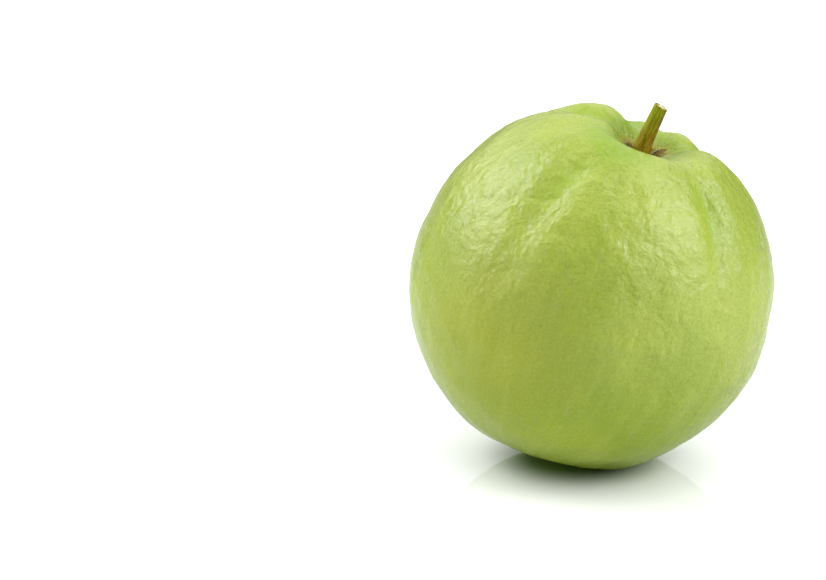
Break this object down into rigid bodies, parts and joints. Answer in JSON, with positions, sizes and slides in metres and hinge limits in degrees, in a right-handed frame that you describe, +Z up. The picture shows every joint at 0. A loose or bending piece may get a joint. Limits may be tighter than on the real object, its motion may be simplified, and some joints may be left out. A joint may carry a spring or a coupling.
{
  "type": "whole guava fruit",
  "caption": "Whole green guava with its cut stem standing in a lobed stem cavity, resting on a small flat spot beside its blossom end.",
  "frame": {"origin": "middle of the flat spot that the fruit rests on, on the resting surface", "axes": "+Z up; the fruit's own axis, from blossom end to stem, leans 19.7 degrees from +Z towards +X and a little towards -Y"},
  "size_m": [0.0992, 0.1001, 0.1001],
  "materials": {
    "guava_skin": "satin, finely wrinkled pale green fruit skin",
    "stem_bark": "matt, finely ribbed olive green stalk with a pale cut end",
    "dry_scale": "matt, papery tan with dark brown edges",
    "dried_calyx": "matt, dry dark brown"
  },
  "bodies": {
    "root": {"fruit": "guava_skin", "stem": "stem_bark", "bract_left": "dry_scale", "bract_right": "dry_scale", "calyx_disc": "dried_calyx", "style_stub": "dried_calyx", "sepal_1": "dried_calyx", "sepal_2": "dried_calyx", "sepal_3": "dried_calyx", "sepal_4": "dried_calyx", "sepal_5": "dried_calyx"}
  },
  "joints": []
}
